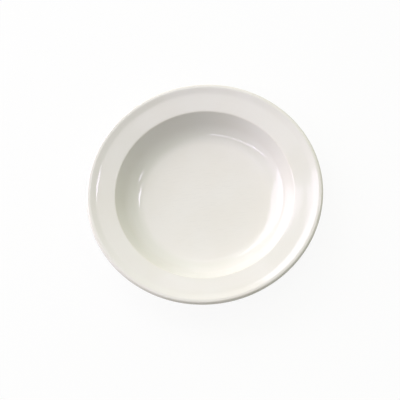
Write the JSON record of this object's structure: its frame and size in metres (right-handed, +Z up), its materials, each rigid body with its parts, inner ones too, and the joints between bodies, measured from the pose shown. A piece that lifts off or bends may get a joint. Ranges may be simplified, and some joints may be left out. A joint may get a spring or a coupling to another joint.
{
  "type": "rimmed soup plate",
  "caption": "Round ivory glazed soup plate with a shallow well, a broad dished rim, a thick rolled lip and a bare foot ring.",
  "frame": {"origin": "middle of the foot ring, on the surface that the plate stands on", "axes": "+Z up along the plate's axis of revolution, out of the mouth of the well; X and Y are any two level directions, as the plate is round"},
  "size_m": [0.23, 0.23, 0.034],
  "materials": {
    "bare_clay": "fine matt fired clay, bare on the land of the foot ring",
    "ivory_glaze": "glossy ivory white glaze"
  },
  "bodies": {
    "root": {"clay_body": "bare_clay", "face_glaze": "ivory_glaze", "base_glaze": "ivory_glaze"}
  },
  "joints": []
}
